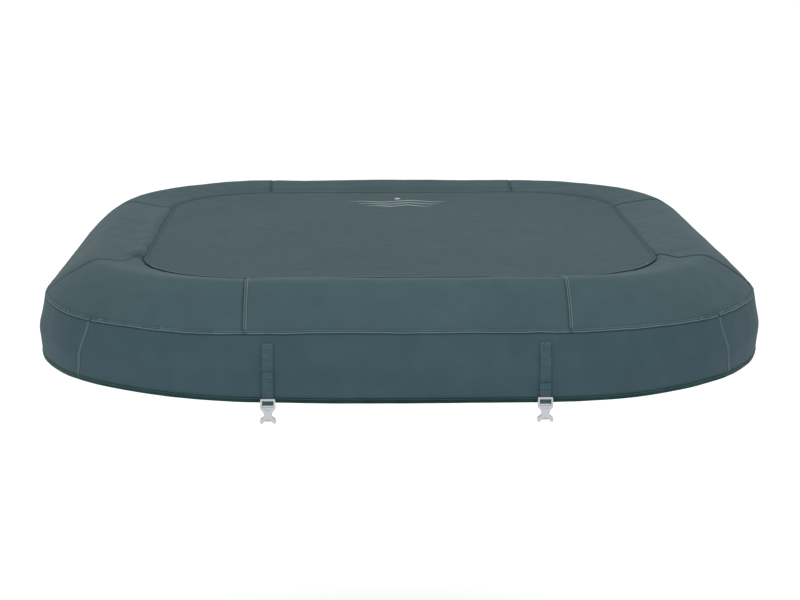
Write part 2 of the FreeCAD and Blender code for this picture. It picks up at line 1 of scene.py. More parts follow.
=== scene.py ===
"""Looks of the square lay-over cover for an inflatable spa.

Metres, +Z up, the front skirt faces -Y. The cloth of ring and skirt is one surface, walked by two
numbers: along, which counts sides anticlockwise from the middle of the front, and way, the distance
up a section. Panels, tapes and stitches all take their places from it, so they stay together.
"""
import math
from bisect import bisect_right

import bmesh
import bpy
from mathutils import Matrix, Vector, noise
from mathutils.geometry import interpolate_bezier


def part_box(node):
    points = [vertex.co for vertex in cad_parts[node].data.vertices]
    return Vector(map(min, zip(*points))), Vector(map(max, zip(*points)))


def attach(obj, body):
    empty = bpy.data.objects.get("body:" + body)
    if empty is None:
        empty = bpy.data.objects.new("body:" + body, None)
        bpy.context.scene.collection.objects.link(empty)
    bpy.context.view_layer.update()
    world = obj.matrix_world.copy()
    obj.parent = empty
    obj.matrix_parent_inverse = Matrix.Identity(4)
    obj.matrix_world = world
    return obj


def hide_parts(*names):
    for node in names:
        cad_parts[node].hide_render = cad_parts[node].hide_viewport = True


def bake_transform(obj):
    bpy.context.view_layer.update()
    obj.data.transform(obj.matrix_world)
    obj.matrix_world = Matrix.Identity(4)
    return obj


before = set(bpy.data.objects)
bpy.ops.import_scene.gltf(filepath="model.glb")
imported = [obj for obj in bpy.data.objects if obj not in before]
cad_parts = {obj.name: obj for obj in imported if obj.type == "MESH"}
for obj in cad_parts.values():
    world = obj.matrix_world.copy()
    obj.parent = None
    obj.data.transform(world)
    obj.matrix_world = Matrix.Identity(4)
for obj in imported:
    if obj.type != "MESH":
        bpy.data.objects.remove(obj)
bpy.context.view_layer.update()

MM = 0.001
UP = Vector((0, 0, 1))
SIDES = ("front", "right", "back", "left")
CORNERS = ("front_right", "back_right", "back_left", "front_left")
SHELL = "cover"

_, panel_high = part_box("centre_panel")
ring_low, ring_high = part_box("rim_panel_front")
skirt_low, skirt_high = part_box("skirt_front")
strap_low, strap_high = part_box("strap_front_right")

# Half widths from the cover's middle, heights, and half the straight part of a side.
STRAIGHT = ring_high.x
SEAM_HALF, SEAM_Z = panel_high.x, panel_high.z
RIM_HALF, RIM_Z = -ring_low.y, skirt_high.z
CREST_Z = ring_high.z
BELLY_HALF, BELLY_Z, BELLY_STRAIGHT = -skirt_low.y, -70 * MM, 335 * MM
HEM_HALF, HEM_Z, HEM_STRAIGHT = 898 * MM, skirt_low.z, 305 * MM
STRAP_X = (strap_low.x + strap_high.x) / 2
STRAP_WIDE = strap_high.x - strap_low.x

CLOTH = 1.2 * MM          # thickness of the coated fabric that shows at its edges
LAP = 9 * MM              # width of a lapped seam
LAP_RISE = 0.75 * MM      # how far it stands out
TUCK = 7 * MM             # how far a panel runs on under its neighbour
SEAM_LEAN = 0.032         # how far the skirt's corner seams lean, in sides
SEAM_FAN = 0.095          # how far the ring's foremost side joints fan out, in sides
HIGH_HEM = 3.6            # where the hem hangs highest, near the front left corner, in sides
HIGH_HEM_RISE = 7 * MM
SIDE_LONG = 1.6           # a side's rough length round the rim in metres, for folds and weave
SEAM_SIDE_LONG = 1.2      # the same round the centre panel
BINDING_RISE = 11 * MM    # width of the tape on the outside of the hem
STITCH_PITCH = 4.6 * MM   # from one stitch to the next
STITCH_SIZE = Vector((1.75, 0.7, 0.4)) * MM   # half a stitch's length, width and height
RIM_ROWS = (2.4 * MM, 7.2 * MM)               # rows of stitches, up from the rim seam
RING_ROWS = (1.9 * MM, 6.9 * MM)              # rows of stitches, on from a joint of the ring
SKIRT_ROWS = (1.9 * MM, 6.6 * MM)             # rows of stitches, on from a corner seam
PANEL_ROW = 6.6 * MM                          # row of stitches, in from the centre panel's seam
HEM_ROW = 8.4 * MM                            # row of stitches, up from the hem
STITCH_LIFT = 0.25 * MM                       # height of a stitch's middle over flat cloth
LAP_STITCH_LIFT = LAP_RISE + 0.2 * MM         # the same on a lap
FLOOR_Z = -1.4            # the studio's floor, well below the cover


# ---- the surface that every panel lies on --------------------------------------------------


def fade(distance, reach):
    """0 at no distance, 1 beyond reach, smooth between."""
    share = min(max(distance / reach, 0.0), 1.0)
    return share * share * (3 - 2 * share)


def within(place, start, end, reach):
    """1 well between start and end, fading to 0 over reach at both."""
    return fade(place - start, reach) * fade(end - place, reach)


def bump(distance, reach):
    """1 at no distance, falling away on both sides."""
    return math.exp(-((distance / reach) ** 2))


def wave(place, size, seed=0.0):
    """Smooth noise from -1 to 1 with waves of about this size."""
    return noise.noise(Vector(place) / size + Vector((seed, seed * 0.7, 0.31)))


class Section:
    """A smooth line through a few (half width, height) corners, walked by length from its low end."""

    def __init__(self, corners, steps=14):
        ends = [Vector(corner) for corner in corners]
        last = len(ends) - 1
        self.line = [ends[0]]
        for number in range(last):
            here, there = ends[number], ends[number + 1]
            before, after = ends[max(number - 1, 0)], ends[min(number + 2, last)]
            first, second = here + (there - before) / 6, there - (after - here) / 6
            self.line += interpolate_bezier(here, first, second, there, steps)[1:]
        self.far = [0.0]
        for here, there in zip(self.line, self.line[1:]):
            self.far.append(self.far[-1] + (there - here).length)
        self.long = self.far[-1]

    def at(self, way):
        """The (half width, height) there, and the outward direction in the section."""
        number = min(max(bisect_right(self.far, way) - 1, 0), len(self.line) - 2)
        here, there = self.line[number], self.line[number + 1]
        share = (way - self.far[number]) / (self.far[number + 1] - self.far[number])
        run = (there - here).normalized()
        return here + (there - here) * share, Vector((run.y, -run.x))


RING = Section((
    (RIM_HALF, RIM_Z), (862 * MM, 30 * MM), (838 * MM, 54 * MM), (803 * MM, 83 * MM),
    (757 * MM, CREST_Z), (700 * MM, 99 * MM), (SEAM_HALF, SEAM_Z),
))
SKIRT = Section((
    (HEM_HALF, HEM_Z), (898.6 * MM, -107 * MM), (BELLY_HALF, BELLY_Z), (888.5 * MM, -30 * MM),
    (RIM_HALF, RIM_Z),
))
GUSSET_HALF = SEAM_HALF - CLOTH
GUSSET = Section(((GUSSET_HALF, CLOTH), (GUSSET_HALF, 42 * MM), (GUSSET_HALF, SEAM_Z - 4 * MM)))


def flat_at(height):
    """Half the straight part of a side at this height: the corners grow rounder towards the hem."""
    share = min((height - HEM_Z) / (RIM_Z - HEM_Z), 1.0)
    return HEM_STRAIGHT + (STRAIGHT - HEM_STRAIGHT) * share


def plan(half, flat, along):
    """A point on a rounded square and its outward direction, seen from above."""
    side, share = divmod(along + 0.25, 1.0)
    if share < 0.5:
        point, out = Vector((flat * (4 * share - 1), -half)), Vector((0, -1))
    else:
        angle = (share - 0.5) * math.pi
        out = Vector((math.sin(angle), -math.cos(angle)))
        point = Vector((flat, -flat)) + out * (half - flat)
    turn = Matrix.Rotation(side * math.pi / 2, 2)
    return turn @ point, turn @ out


def stretch_at(along, half, flat):
    """How many metres one step of along is there."""
    return 4 * flat if (along + 0.25) % 1.0 < 0.5 else (half - flat) * math.pi


def skin(section, along, way, out=0.0):
    """A point on the cover's skin, out from it by a distance, and the outward direction."""
    (half, height), lean = section.at(way)
    flat = flat_at(height)
    (x, y), sideways = plan(half, flat, along)
    place = Vector((x, y, height))
    away = Vector((sideways.x * lean.x, sideways.y * lean.x, lean.y))
    # the inner seam wanders sideways
    inner = bump(half - SEAM_HALF, 26 * MM) if height > 60 * MM else 0.0
    drift = inner * (3.4 * MM * wave(place, 0.09) + 2.2 * MM * wave(place, 0.032))
    # the rim seam wanders up and down
    uneven = 2.3 * MM * wave(place, 0.16, 5) + 1.2 * MM * wave(place, 0.035, 9)
    rise = bump(height - RIM_Z, 22 * MM) * uneven
    rise += HIGH_HEM_RISE * bump(height - HEM_Z, 80 * MM) * bump(along % 4 - HIGH_HEM, 0.2)
    shift = Vector((sideways.x * drift, sideways.y * drift, rise))
    return place + shift + away * out, away


def upright(along, way):
    """A panel end that keeps its place in a side all the way up."""
    return along


def leaning(along, way):
    """The skirt's corner seams lean towards its left and right sides on their way down."""
    turn = 1 if int(along // 1) % 2 == 0 else -1
    return along + turn * SEAM_LEAN * (1 - way / SKIRT.long)


def fanned(along, way):
    """The ring's joints at the front ends of its left and right sides fan out towards the front."""
    turn = {0.75: -1, 3.25: 1}.get(along % 4, 0)
    return along + turn * SEAM_FAN * fade(RING.long - way, 65 * MM) * (0.5 + 0.5 * fade(way, 130 * MM))


def joint_distance(section, along, way, first, pitch, place_end):
    """Distance along the skin to the nearest of the panel joints, which are one pitch apart."""
    (half, height), _ = section.at(way)
    joint = first + pitch * round((along - first) / pitch)
    offset = along - place_end(joint, way)
    return abs(offset) * stretch_at(joint + offset / 2, half, flat_at(height))


def ring_joint_distance(along, way):
    return joint_distance(RING, along, way, 0.25, 0.5, fanned)


def skirt_joint_distance(along, way):
    return joint_distance(SKIRT, along, way, 0.5, 1.0, leaning)


def ring_relief(along, way):
    """How far the ring's cloth stands out from its even shape."""
    (half, height), _ = RING.at(way)
    (x, y), _ = plan(half, flat_at(height), along)
    place = Vector((x, y, height))
    inner = RING.long - way
    joint = ring_joint_distance(along, way)
    turning = within((along + 0.25) % 1.0, 0.5, 1.0, 0.06)
    free = fade(way - LAP, 50 * MM) * fade(inner, 40 * MM)
    out = free * (3.4 * MM * wave(place, 0.30) + 1.4 * MM * wave(place, 0.10, 3))
    out += free * fade(joint, 40 * MM) * 0.5 * MM * wave(place, 0.035, 7)
    # the band of the rim seam and the groove above it
    out += 0.4 * MM * fade(LAP - way, 1.6 * MM) - 0.7 * MM * bump(way - LAP - 1.5 * MM, 3.0 * MM)
    # gathers beside the rim seam where it turns a corner
    far = along * SIDE_LONG
    bunch = fade(wave((far, 0, 0), 0.055, 2) + 0.35, 0.5) * (0.25 + 0.75 * turning)
    ridge = wave((far, way * 0.2, 0), 0.0085, 4)
    out += 3.0 * MM * bunch * ridge * bump(way - 8 * MM, 8 * MM)
    # the inner seam draws the ring in, and small tucks run up to it
    out -= 2.4 * MM * bump(inner, 7 * MM)
    tucks = wave((far, inner * 0.3, 4), 0.012, 8) * fade(wave((far, 0, 2), 0.08, 6) + 0.2, 0.5)
    out += 1.2 * MM * tucks * bump(inner - 8 * MM, 9 * MM)
    # the panel joints draw in too, most of all at their inner ends
    out -= 1.3 * MM * bump(joint, 9 * MM) * fade(way - LAP, 10 * MM)
    out -= 3.0 * MM * bump(joint, 10 * MM) * bump(inner, 12 * MM)
    return out + side_relief(along, inner)


def side_relief(along, inner):
    """Each side lies a little differently on the tub's rim."""
    place = along % 4
    # the left side stands up beside the inner seam, and the back lies lower there
    out = 5.0 * MM * within(place, 2.7, 3.4, 0.2) * bump(inner - 22 * MM, 16 * MM)
    out -= 3.5 * MM * within(place, 1.6, 2.5, 0.2) * bump(inner - 20 * MM, 18 * MM)
    # a peak and a pinch at the joint by the front left corner
    out += 7.0 * MM * bump((place - 3.24) * 1.3, 0.035) * bump(inner - 26 * MM, 20 * MM)
    out -= 4.0 * MM * bump((place - 3.29) * 1.3, 0.018) * bump(inner - 8 * MM, 14 * MM)
    return out


def strap_distance(along):
    """Distance in metres to the nearest strap, along the skirt."""
    offset = ((along + 1.0) % 2.0 - 1.0) * 4 * BELLY_STRAIGHT
    return abs(abs(offset) - STRAP_X)


def skirt_relief(along, way):
    """How far the skirt's cloth stands out from its even shape."""
    (half, height), _ = SKIRT.at(way)
    flat = flat_at(height)
    (x, y), _ = plan(half, flat, along)
    top = SKIRT.long - way
    joint = skirt_joint_distance(along, way)
    free = fade(top, 45 * MM)
    hang = 0.35 + 0.65 * (1 - way / SKIRT.long)
    clear = fade(strap_distance(along) - 14 * MM, 45 * MM)
    out = free * hang * clear * (3.0 * MM * wave((x, y, height * 0.25), 0.17, 1))
    out += free * clear * (1.1 * MM * wave((x, y, height * 0.4), 0.06, 4))
    out += 0.35 * MM * clear * fade(top, 12 * MM) * wave((x, y, height), 0.022, 6)
    far = along * SIDE_LONG
    gather = wave((far, 0, 0), 0.011, 12) * fade(wave((far, 0, 1), 0.07, 3) + 0.2, 0.5)
    out += 0.9 * MM * clear * gather * bump(top - 9 * MM, 9 * MM)
    out -= 1.0 * MM * bump(joint, 9 * MM) * fade(top, 10 * MM)
    # the top edge runs up behind the ring
    return out - 1.2 * MM * (1 - fade(top, 3 * MM))


# ---- making pieces -------------------------------------------------------------------------


def graded(length, fine, coarse):
    """Distances from 0 to length that lie close together near both ends."""
    near, gap, close_part = [0.0], fine, 16 * MM
    while near[-1] + gap < length / 2:
        near.append(near[-1] + gap)
        if near[-1] > close_part:
            gap = min(gap * 1.3, coarse)
    return near + [length - distance for distance in reversed(near)]


def grid(columns, rows, place_at):
    """A sheet of columns by rows; place_at(column, row) gives a point, its (u, v) and the painted shade of
    its crease.
    """
    bm = bmesh.new()
    bmesh.ops.create_grid(bm, x_segments=columns - 1, y_segments=rows - 1, size=0.5)
    uv_layer = bm.loops.layers.uv.new("cloth")
    crease_shade_layer = bm.verts.layers.float.new("crease_shade")
    flat_places = {}
    for vert in bm.verts:
        column = round((vert.co.x + 0.5) * (columns - 1))
        row = round((vert.co.y + 0.5) * (rows - 1))
        vert.co, flat_places[vert], vert[crease_shade_layer] = place_at(column, row)
    for face in bm.faces:
        for loop in face.loops:
            loop[uv_layer].uv = flat_places[loop.vert]
    return bm


def keep(name, bm, materials, body=SHELL, stands_for=()):
    """Makes a finished bmesh a piece that rides on a body."""
    mesh = bpy.data.meshes.new(name)
    bm.to_mesh(mesh)
    bm.free()
    for face in mesh.polygons:
        face.use_smooth = True
    piece = bpy.data.objects.new(name, mesh)
    bpy.context.scene.collection.objects.link(piece)
    for material in materials:
        mesh.materials.append(material)
    if body:
        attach(piece, body)
    if stands_for:
        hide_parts(*stands_for)
    return piece


def thicken(piece, thickness, offset=-1.0, inner_material=0):
    wall = piece.modifiers.new("wall", "SOLIDIFY")
    wall.thickness = thickness
    wall.offset = offset
    wall.material_offset = inner_material
    wall.use_even_offset = False
    return piece


def panel_between(section, relief, start, end, columns, rows, lap, crease_shade, place_end=upright):
    """A panel of ring or skirt from start to end, which runs on over its neighbour by the lap."""
    over = [distance * lap for distance in (0.06, 0.25, 0.5, 0.75, 0.94, 1.0)] if lap else []
    count = columns + len(over)

    def place_at(column, row):
        way = rows[row]
        (half, height), _ = section.at(way)
        flat = flat_at(height)
        beyond = over[column - columns] if column >= columns else 0.0
        share = min(column / (columns - 1), 1.0)
        first, last = place_end(start, way), place_end(end, way)
        along = first + (last - first) * share + beyond / stretch_at(end + 0.01, half, flat)
        out = relief(along, way)
        if lap and share == 1.0:
            out += LAP_RISE * fade(beyond + 0.5 * MM, 2 * MM)
        place, _ = skin(section, along, way, out)
        # the last value is painted shade in the panel's creases
        return place, (along * SIDE_LONG, way), crease_shade(along, way)

    return grid(count, len(rows), place_at)


# painted shade at the inner seam, full at the front and lighter elsewhere, and along the rim seam and the
# panel joints
def ring_crease_shade(along, way):
    inner = RING.long - way
    joint = ring_joint_distance(along, way)
    front = fade(abs((along + 2) % 4 - 2) - 0.55, 0.3)
    seam_shade = (1 - 0.6 * front) * bump(inner, 4 * MM)
    return max(seam_shade, 0.5 * bump(way, 1.2 * MM), 0.8 * bump(joint - 1.2 * MM, 2.6 * MM))


# painted shade under the ring's edge at the skirt's top, and just above the binding
def skirt_crease_shade(along, way):
    return max(0.55 * bump(SKIRT.long - way, 2.5 * MM), 0.3 * bump(way - BINDING_RISE, 4 * MM))


# ---- stitches ------------------------------------------------------------------------------


def one_stitch():
    """A single stitch of thick thread, lying along X."""
    bm = bmesh.new()
    bmesh.ops.create_uvsphere(bm, u_segments=6, v_segments=4, radius=1.0)
    bmesh.ops.rotate(bm, verts=bm.verts, matrix=Matrix.Rotation(math.pi / 2, 3, "Y"))
    bmesh.ops.scale(bm, verts=bm.verts, vec=STITCH_SIZE)
    mesh = bpy.data.meshes.new("stitch")
    bm.to_mesh(mesh)
    bm.free()
    return mesh


def pose(place, run, up):
    """The matrix that lays a thing drawn along X, face up, at a place."""
    run = run.normalized()
    across = up.cross(run).normalized()
    turn = Matrix((run, across, run.cross(across))).transposed()
    return Matrix.Translation(place) @ turn.to_4x4()


def repeated(template, poses):
    """One bmesh with a copy of the template at each pose."""
    bm = bmesh.new()
    for matrix in poses:
        copy = template.copy()
        copy.transform(matrix)
        bm.from_mesh(copy)
        bpy.data.meshes.remove(copy)
    return bm


def stitch_poses(line, pitch=STITCH_PITCH):
    """Poses one pitch apart along a line of (place, up) points."""
    poses, spare = [], pitch / 2
    for (here, up), (there, _) in zip(line, line[1:]):
        length = (there - here).length
        while spare < length:
            poses.append(pose(here.lerp(there, spare / length), there - here, up))
            spare += pitch
        spare -= length
    return poses


def line_round(section, relief, way, lift):
    """(place, up) points all round the cover, at one way up a section."""
    line, steps = [], 1400
    for number in range(steps + 1):
        along = 4 * number / steps
        line.append(skin(section, along, way, relief(along, way) + lift))
    return line


def line_up(section, relief, joint, beside, first, last, place_end):
    """(place, up) points on a lap that climb a section beside a joint."""
    line, steps = [], 60
    for number in range(steps + 1):
        way = first + (last - first) * number / steps
        (half, height), _ = section.at(way)
        along = place_end(joint, way) + beside / stretch_at(joint + 0.01, half, flat_at(height))
        line.append(skin(section, along, way, relief(along, way) + LAP_STITCH_LIFT))
    return line


# ---- finishes ------------------------------------------------------------------------------


class Finish:
    """A material under construction: its node tree with short ways to add to it."""

    def __init__(self, name, **settings):
        self.material = bpy.data.materials.new(name)
        self.material.use_nodes = True
        self.tree = self.material.node_tree
        self.shader = self.tree.nodes["Principled BSDF"]
        for socket, value in settings.items():
            self.shader.inputs[socket.replace("_", " ")].default_value = value

    def node(self, kind, **inputs):
        made = self.tree.nodes.new(kind)
        for socket, value in inputs.items():
            self.feed(made.inputs[socket.replace("_", " ")], value)
        return made

    def feed(self, socket, value):
        if isinstance(value, bpy.types.NodeSocket):
            self.tree.links.new(value, socket)
        else:
            socket.default_value = value

    def object_place(self):
        return self.node("ShaderNodeTexCoord").outputs["Object"]

    def cloth_place(self):
        return self.node("ShaderNodeUVMap").outputs["UV"]

    def clouds(self, size, detail=3.0):
        """Soft noise with patches of about this size in metres, from 0 to 1."""
        place = self.object_place()
        return self.node("ShaderNodeTexNoise", Vector=place, Scale=1 / size, Detail=detail).outputs["Fac"]

    def ribs(self, pitch, direction):
        """Parallel ribs of this pitch in metres."""
        place = self.cloth_place()
        made = self.node("ShaderNodeTexWave", Vector=place, Scale=math.pi / (10 * pitch))
        made.bands_direction = direction
        return made.outputs["Fac"]

    def sum(self, first, second, operation="ADD"):
        made = self.node("ShaderNodeMath")
        made.operation = operation
        self.feed(made.inputs[0], first)
        self.feed(made.inputs[1], second)
        return made.outputs[0]

    def blend(self, share, first, second):
        """A colour between two, by a share."""
        made = self.node("ShaderNodeMix")
        made.data_type = "RGBA"
        self.feed(made.inputs[0], share)
        self.feed(made.inputs[6], first)
        self.feed(made.inputs[7], second)
        return made.outputs[2]

    def between(self, share, low, high):
        """Maps a share of 0 to 1 onto low to high."""
        made = self.node("ShaderNodeMapRange", Value=share, To_Min=low, To_Max=high)
        return made.outputs["Result"]

    def colour(self, value):
        self.feed(self.shader.inputs["Base Color"], value)

    def rough(self, share, low, high):
        self.feed(self.shader.inputs["Roughness"], self.between(share, low, high))

    def relief(self, height, depth, strength=1.0):
        """Adds a bump of this depth in metres over the ones already there."""
        made = self.node("ShaderNodeBump", Height=height, Distance=depth, Strength=strength)
        before = self.shader.inputs["Normal"]
        if before.is_linked:
            self.feed(made.inputs["Normal"], before.links[0].from_socket)
        self.feed(before, made.outputs["Normal"])


def shade(red, green, blue):
    """A colour given as it looks on a screen, from 0 to 255."""
    def linear(level):
        level /= 255
        return level / 12.92 if level <= 0.04045 else ((level + 0.055) / 1.055) ** 2.4
    return (linear(red), linear(green), linear(blue), 1.0)


def coated_cloth(name, light, dark, seam_shade):
    """Woven polyester with a soft leathery coating: cloudy colour, fine grain, and painted shade in its
    creases.
    """
    finish = Finish(name, Sheen_Weight=0.01, Sheen_Roughness=0.5, Specular_IOR_Level=0.08)
    clouds = finish.sum(finish.clouds(0.22, 5.0), finish.clouds(0.05, 4.0), "MULTIPLY")
    cloudy = finish.blend(finish.between(clouds, -0.3, 1.9), dark, light)
    crease_shade = finish.node("ShaderNodeAttribute")
    crease_shade.attribute_name = "crease_shade"
    # painted shade: darkens the cloth's colour towards its shade colour in creases and along seams
    finish.colour(finish.blend(finish.sum(crease_shade.outputs["Fac"], 0.75, "MULTIPLY"), cloudy, seam_shade))
    finish.rough(finish.clouds(0.03, 4.0), 0.6, 0.78)
    finish.relief(finish.clouds(0.0022, 3.0), 0.35 * MM, 0.6)
    weave = finish.sum(finish.ribs(1.1 * MM, "X"), finish.ribs(1.1 * MM, "Y"), "MULTIPLY")
    finish.relief(weave, 0.12 * MM, 0.5)
    return finish.material


def woven_tape(name, light, dark, pitch, depth=0.25 * MM):
    """Ribbed narrow webbing: ribs across, finer yarns along."""
    finish = Finish(name, Sheen_Weight=0.03, Specular_IOR_Level=0.12)
    ribs = finish.sum(finish.ribs(pitch, "Y"), finish.ribs(pitch * 0.8, "DIAGONAL"), "MULTIPLY")
    worn = finish.sum(finish.clouds(0.012, 4.0), ribs, "ADD")
    finish.colour(finish.blend(finish.between(worn, -0.2, 0.75), dark, light))
    finish.rough(ribs, 0.85, 0.6)
    finish.relief(ribs, depth)
    return finish.material


def hem_tape():
    """Binding tape, greener where it turns the corners."""
    finish = Finish("binding_tape", Sheen_Weight=0.03, Specular_IOR_Level=0.12)
    ribs = finish.sum(finish.ribs(1.2 * MM, "X"), finish.ribs(1.2 * MM, "DIAGONAL"), "MULTIPLY")
    sides = finish.node("ShaderNodeSeparateXYZ", Vector=finish.object_place()).outputs["X"]
    away = finish.sum(finish.sum(sides, 0.0, "ABSOLUTE"), 0.6, "MULTIPLY")
    patches = finish.sum(away, finish.clouds(0.05, 3.0), "ADD")
    finish.colour(finish.blend(finish.between(patches, -0.55, 0.75), shade(17, 36, 39), shade(22, 60, 56)))
    finish.rough(ribs, 0.8, 0.6)
    finish.relief(ribs, 0.2 * MM)
    return finish.material


def thread_finish(name, light, dark):
    finish = Finish(name, Roughness=0.7, Specular_IOR_Level=0.2)
    finish.colour(finish.blend(finish.clouds(0.004, 2.0), dark, light))
    finish.relief(finish.clouds(0.0006, 1.0), 0.1 * MM)
    return finish.material


def moulded_plastic(name, light, dark, rough=(0.32, 0.5), grain=0.0008):
    """Injection-moulded plastic: even colour with faint flow marks and a fine spark-eroded grain."""
    finish = Finish(name, Specular_IOR_Level=0.5)
    finish.colour(finish.blend(finish.clouds(0.012, 3.0), dark, light))
    finish.rough(finish.clouds(0.006, 3.0), *rough)
    finish.relief(finish.clouds(grain, 2.0), 0.04 * MM, 0.5)
    return finish.material


def liner_film():
    finish = Finish("liner_sheet", Specular_IOR_Level=0.5, Coat_Weight=0.2)
    finish.colour(finish.blend(finish.clouds(0.15), shade(168, 176, 180), shade(196, 202, 206)))
    finish.rough(finish.clouds(0.02), 0.22, 0.4)
    finish.relief(finish.clouds(0.006, 4.0), 0.3 * MM, 0.5)
    return finish.material


def cast_metal():
    finish = Finish("zip_metal", Metallic=1.0)
    finish.colour(finish.blend(finish.clouds(0.002), shade(140, 142, 144), shade(196, 198, 200)))
    finish.rough(finish.clouds(0.0015), 0.22, 0.45)
    finish.relief(finish.clouds(0.0009), 0.05 * MM)
    return finish.material


# painted light and shade: panel, ring and skirt are one fabric in tones set to match how light falls on each,
# the skirt tinted bluer for the cooler light on its upright sides; each last colour is the painted shade of
# its creases
top_cloth = coated_cloth("cover_cloth_panel", shade(55, 74, 78), shade(49, 68, 72), shade(20, 32, 36))
ring_cloth = coated_cloth("cover_cloth_ring", shade(62, 82, 86), shade(55, 74, 78), shade(18, 29, 34))
skirt_cloth = coated_cloth("cover_cloth_skirt", shade(59, 78, 85), shade(51, 70, 77), shade(15, 25, 31))
inner_cloth = coated_cloth("cover_cloth_inside", shade(96, 108, 110), shade(82, 94, 97), shade(60, 70, 72))
webbing = woven_tape("webbing", shade(66, 90, 95), shade(40, 60, 65), 1.7 * MM)
zip_cloth = woven_tape("zip_cloth", shade(48, 60, 63), shade(30, 40, 43), 1.0 * MM, 0.12 * MM)
binding_tape = hem_tape()
pale_thread = thread_finish("pale_thread", shade(138, 162, 164), shade(98, 122, 126))
dark_thread = thread_finish("dark_thread", shade(58, 78, 82), shade(40, 57, 61))
green_thread = thread_finish("green_thread", shade(72, 108, 106), shade(48, 80, 79))
buckle_plastic = moulded_plastic("buckle_plastic", shade(178, 180, 184), shade(168, 170, 175))
valve_plastic = moulded_plastic("valve_plastic", shade(150, 156, 160), shade(138, 144, 150))
rubber = moulded_plastic("valve_rubber", shade(38, 38, 40), shade(28, 28, 30), (0.6, 0.8), 0.0015)
zip_teeth = moulded_plastic("zip_teeth", shade(40, 50, 54), shade(30, 38, 42))
metal = cast_metal()
liner_sheet = liner_film()
print_ink = moulded_plastic("print_ink", shade(196, 206, 208), shade(170, 182, 186), (0.5, 0.7))


# ---- ring, skirt and centre panel ----------------------------------------------------------


def ring_panel(node, start, columns):
    """One panel of the ring, half a side long."""
    rows = graded(RING.long, 1.2 * MM, 5 * MM) + [RING.long + TUCK / 2, RING.long + TUCK]
    bm = panel_between(RING, ring_relief, start, start + 0.5, columns, rows, LAP, ring_crease_shade, fanned)
    piece = keep(f"{node}_cloth", bm, (ring_cloth, inner_cloth), stands_for=(node,))
    thicken(piece, CLOTH, inner_material=1)
    return piece


def ring_panels():
    half, height = RING.at(RING.long / 2)[0]
    # a corner panel is made like a side panel, along the turn of a corner
    for side, (name, corner) in enumerate(zip(SIDES, CORNERS)):
        piece = ring_panel(f"rim_panel_{name}", side - 0.25, 166)
        piece = ring_panel(f"rim_corner_{corner}", side + 0.25, 216)


def skirt_panels():
    rows = graded(SKIRT.long, 1.6 * MM, 5.5 * MM) + [SKIRT.long + TUCK / 2, SKIRT.long + TUCK]
    for side, name in enumerate(SIDES):
        node = f"skirt_{name}"
        bm = panel_between(SKIRT, skirt_relief, side - 0.5, side + 0.5, 300, rows, LAP, skirt_crease_shade, leaning)
        piece = keep(f"{node}_cloth", bm, (skirt_cloth, inner_cloth), stands_for=(node,))
        thicken(piece, CLOTH, inner_material=1)


def panel_swell(place, inward):
    """How far the centre panel swells up, this far in from its seam."""
    crown = 5 * MM * (1 - (1 - fade(inward, SEAM_HALF)) ** 2)
    free = fade(inward - LAP, 70 * MM)
    return crown + free * (2.2 * MM * wave(place, 0.34, 2) + 0.9 * MM * wave(place, 0.11, 5))


def centre_point(along, inward, lift=0.0):
    """A point of the centre panel, inward from its seam, and the upward direction."""
    edge, _ = skin(RING, along, RING.long)
    share = 1 - inward / SEAM_HALF
    place = Vector((edge.x * share, edge.y * share, SEAM_Z))
    out = panel_swell(place, inward)
    # the band of the seam, the groove beside it, and the small tucks that run up to it
    out += 0.9 * MM * fade(LAP - inward, 1.6 * MM) - 1.2 * MM * bump(inward - LAP - 1.5 * MM, 3.5 * MM)
    far = along * SEAM_SIDE_LONG
    tucks = wave((far, 0, 4), 0.013, 3) * fade(wave((far, 0, 2), 0.07, 6) + 0.2, 0.5)
    out += 0.9 * MM * tucks * bump(inward - LAP - 3 * MM, 9 * MM)
    return place + UP * (out + lift), UP


def centre_panel():
    rows = [inward for inward in graded(2 * SEAM_HALF, 1.2 * MM, 11 * MM) if inward < SEAM_HALF - 9 * MM]
    rows.append(SEAM_HALF)               # every column ends in the middle
    columns = 441

    def place_at(column, row):
        along = 4 * column / (columns - 1)
        place, _ = centre_point(along, rows[row])
        # the last value is painted shade along the panel's seam
        return place, (place.x, place.y), bump(rows[row], 1.5 * MM)

    bm = grid(columns, len(rows), place_at)
    bmesh.ops.remove_doubles(bm, verts=bm.verts, dist=0.05 * MM)
    cloths = (top_cloth, inner_cloth)
    piece = keep("centre_panel_cloth", bm, cloths, stands_for=("centre_panel",))
    thicken(piece, CLOTH, inner_material=1)


def binding():
    """The folded tape over the skirt's lower edge, from its inner edge round to its outer one."""
    # (up the skirt, out from its cloth) in millimetres
    fold = (
        (10.0, -2.0), (6.0, -2.2), (2.0, -2.2), (0.2, -2.1), (-0.8, -1.6), (-1.15, -0.6), (-0.8, 0.4),
        (0.2, 0.85), (2.0, 0.95), (5.0, 0.95), (8.5, 0.95), (10.2, 0.9), (10.9, 0.45), (11.0, 0.0),
    )
    columns = 1361

    def place_at(column, row):
        along = 4 * column / (columns - 1)
        way, out = fold[row][0] * MM, fold[row][1] * MM
        place, _ = skin(SKIRT, along, way, skirt_relief(along, max(way, 0.0)) + out)
        return place, (along * SIDE_LONG, way + out), 0.0

    bm = grid(columns, len(fold), place_at)
    bmesh.ops.remove_doubles(bm, verts=bm.verts, dist=0.02 * MM)
    piece = keep("hem_binding_tape", bm, (binding_tape,), stands_for=("hem_binding",))
    thicken(piece, 0.5 * MM)


